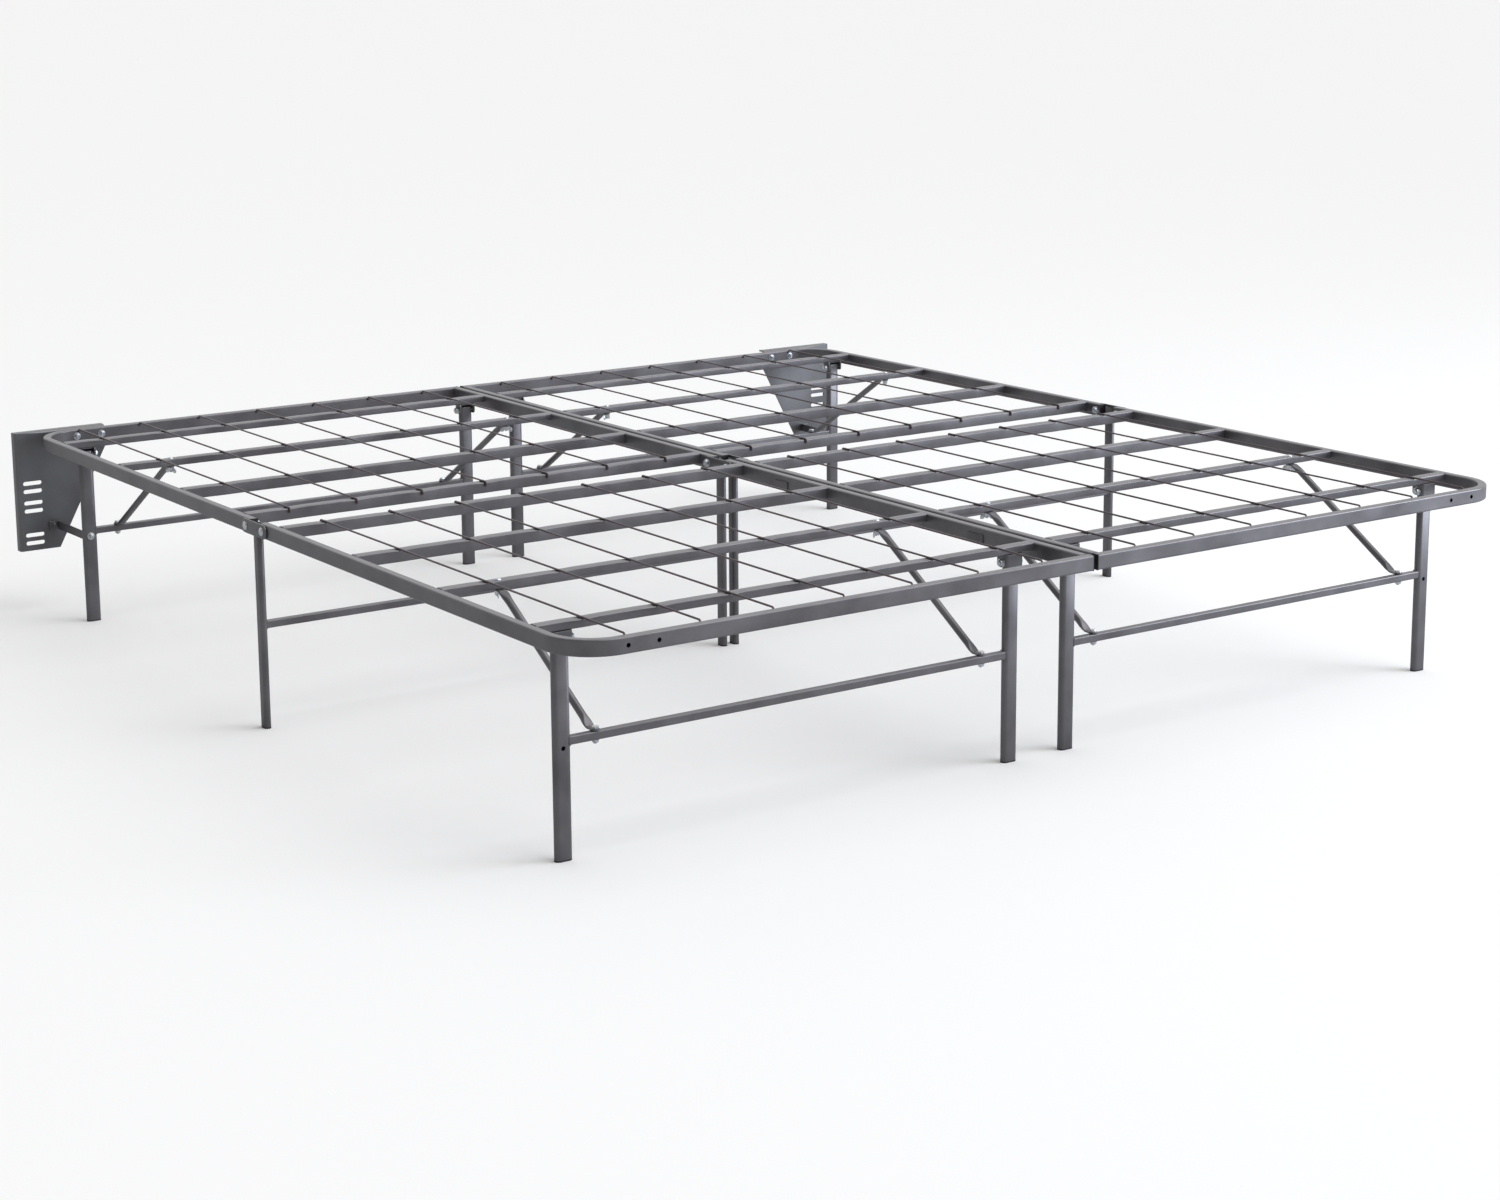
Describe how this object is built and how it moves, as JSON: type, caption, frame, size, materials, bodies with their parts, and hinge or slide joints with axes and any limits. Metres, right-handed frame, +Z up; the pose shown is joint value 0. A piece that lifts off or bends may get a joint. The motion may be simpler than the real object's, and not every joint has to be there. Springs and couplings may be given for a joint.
{
  "type": "folding metal bed frame",
  "caption": "Folding metal platform bed frame: two hinged halves side by side, a wire deck over tube bars, fold-in leg sets with swivel braces, and slotted headboard brackets.",
  "frame": {"origin": "on the floor, at the middle of the deck: the seam between the halves crosses the fold line above it", "axes": "+X to the right seen from the foot end, +Y towards the head end, +Z up"},
  "size_m": [1.962, 2.05, 0.3582],
  "materials": {
    "powder_coat": "satin gunmetal grey powder coat",
    "wire_coat": "satin dark brown-grey powder coat",
    "zinc_plate": "bright zinc plate",
    "black_plastic": "fine matt"
  },
  "bodies": {
    "root": {"foot_left_outer_rail": "powder_coat", "foot_left_inner_rail": "powder_coat", "foot_left_cross_bars": "powder_coat", "foot_right_outer_rail": "powder_coat", "foot_right_inner_rail": "powder_coat", "foot_right_cross_bars": "powder_coat", "foot_wires": "wire_coat", "foot_leg_saddles": "powder_coat", "foot_rail_caps": "black_plastic", "foot_bolts": "zinc_plate", "foot_wing_nuts": "zinc_plate", "seam_clips": "powder_coat"},
    "head_left_section": {"head_left_outer_rail": "powder_coat", "head_left_inner_rail": "powder_coat", "head_left_cross_bars": "powder_coat", "head_left_wires": "wire_coat", "head_left_leg_saddles": "powder_coat", "head_left_rail_caps": "black_plastic", "head_left_bolts": "zinc_plate", "head_left_wing_nuts": "zinc_plate", "left_headboard_bracket": "powder_coat", "left_headboard_strut": "powder_coat"},
    "middle_left_legs": {"middle_left_leg_frame": "powder_coat", "middle_left_leg_feet": "black_plastic", "left_hinge_plates": "powder_coat", "left_hinge_bolts": "zinc_plate"},
    "foot_left_legs": {"foot_left_leg_frame": "powder_coat", "foot_left_leg_feet": "black_plastic", "foot_left_swivel_bolts": "zinc_plate"},
    "foot_left_outer_brace": {"foot_left_outer_brace": "powder_coat"},
    "foot_left_inner_brace": {"foot_left_inner_brace": "powder_coat"},
    "head_left_legs": {"head_left_leg_frame": "powder_coat", "head_left_leg_feet": "black_plastic", "head_left_swivel_bolts": "zinc_plate"},
    "head_left_outer_brace": {"head_left_outer_brace": "powder_coat"},
    "head_left_inner_brace": {"head_left_inner_brace": "powder_coat"},
    "head_right_section": {"head_right_outer_rail": "powder_coat", "head_right_inner_rail": "powder_coat", "head_right_cross_bars": "powder_coat", "head_right_wires": "wire_coat", "head_right_leg_saddles": "powder_coat", "head_right_rail_caps": "black_plastic", "head_right_bolts": "zinc_plate", "head_right_wing_nuts": "zinc_plate", "right_headboard_bracket": "powder_coat", "right_headboard_strut": "powder_coat"},
    "middle_right_legs": {"middle_right_leg_frame": "powder_coat", "middle_right_leg_feet": "black_plastic", "right_hinge_plates": "powder_coat", "right_hinge_bolts": "zinc_plate"},
    "foot_right_legs": {"foot_right_leg_frame": "powder_coat", "foot_right_leg_feet": "black_plastic", "foot_right_swivel_bolts": "zinc_plate"},
    "foot_right_outer_brace": {"foot_right_outer_brace": "powder_coat"},
    "foot_right_inner_brace": {"foot_right_inner_brace": "powder_coat"},
    "head_right_legs": {"head_right_leg_frame": "powder_coat", "head_right_leg_feet": "black_plastic", "head_right_swivel_bolts": "zinc_plate"},
    "head_right_outer_brace": {"head_right_outer_brace": "powder_coat"},
    "head_right_inner_brace": {"head_right_inner_brace": "powder_coat"}
  },
  "joints": [
    {"name": "left_middle_leg_fold", "type": "hinge", "parent": "root", "child": "middle_left_legs", "pos_m": [-0.476, -0.031, 0.3431], "axis": [-1, 0, 0], "range_deg": [0, 90]},
    {"name": "left_head_section_fold", "type": "hinge", "parent": "middle_left_legs", "child": "head_left_section", "pos_m": [-0.476, 0.031, 0.3431], "axis": [-1, 0, 0], "range_deg": [0, 90]},
    {"name": "foot_left_leg_fold", "type": "hinge", "parent": "root", "child": "foot_left_legs", "pos_m": [-0.476, -0.881, 0.3293], "axis": [1, 0, 0], "range_deg": [0, 90]},
    {"name": "foot_left_outer_brace_swivel", "type": "hinge", "parent": "foot_left_legs", "child": "foot_left_outer_brace", "pos_m": [-0.834, -0.881, 0.18435], "axis": [0, 0, -1], "range_deg": [0, 90]},
    {"name": "foot_left_inner_brace_swivel", "type": "hinge", "parent": "foot_left_legs", "child": "foot_left_inner_brace", "pos_m": [-0.118, -0.881, 0.18435], "axis": [0, 0, 1], "range_deg": [0, 90]},
    {"name": "head_left_leg_fold", "type": "hinge", "parent": "head_left_section", "child": "head_left_legs", "pos_m": [-0.476, 0.881, 0.3293], "axis": [-1, 0, 0], "range_deg": [0, 90]},
    {"name": "head_left_outer_brace_swivel", "type": "hinge", "parent": "head_left_legs", "child": "head_left_outer_brace", "pos_m": [-0.834, 0.881, 0.18435], "axis": [0, 0, 1], "range_deg": [0, 90]},
    {"name": "head_left_inner_brace_swivel", "type": "hinge", "parent": "head_left_legs", "child": "head_left_inner_brace", "pos_m": [-0.118, 0.881, 0.18435], "axis": [0, 0, -1], "range_deg": [0, 90]},
    {"name": "right_middle_leg_fold", "type": "hinge", "parent": "root", "child": "middle_right_legs", "pos_m": [0.476, -0.031, 0.3431], "axis": [-1, 0, 0], "range_deg": [0, 90]},
    {"name": "right_head_section_fold", "type": "hinge", "parent": "middle_right_legs", "child": "head_right_section", "pos_m": [0.476, 0.031, 0.3431], "axis": [-1, 0, 0], "range_deg": [0, 90]},
    {"name": "foot_right_leg_fold", "type": "hinge", "parent": "root", "child": "foot_right_legs", "pos_m": [0.476, -0.881, 0.3293], "axis": [1, 0, 0], "range_deg": [0, 90]},
    {"name": "foot_right_outer_brace_swivel", "type": "hinge", "parent": "foot_right_legs", "child": "foot_right_outer_brace", "pos_m": [0.834, -0.881, 0.18435], "axis": [0, 0, 1], "range_deg": [0, 90]},
    {"name": "foot_right_inner_brace_swivel", "type": "hinge", "parent": "foot_right_legs", "child": "foot_right_inner_brace", "pos_m": [0.118, -0.881, 0.18435], "axis": [0, 0, -1], "range_deg": [0, 90]},
    {"name": "head_right_leg_fold", "type": "hinge", "parent": "head_right_section", "child": "head_right_legs", "pos_m": [0.476, 0.881, 0.3293], "axis": [-1, 0, 0], "range_deg": [0, 90]},
    {"name": "head_right_outer_brace_swivel", "type": "hinge", "parent": "head_right_legs", "child": "head_right_outer_brace", "pos_m": [0.834, 0.881, 0.18435], "axis": [0, 0, -1], "range_deg": [0, 90]},
    {"name": "head_right_inner_brace_swivel", "type": "hinge", "parent": "head_right_legs", "child": "head_right_inner_brace", "pos_m": [0.118, 0.881, 0.18435], "axis": [0, 0, 1], "range_deg": [0, 90]}
  ]
}
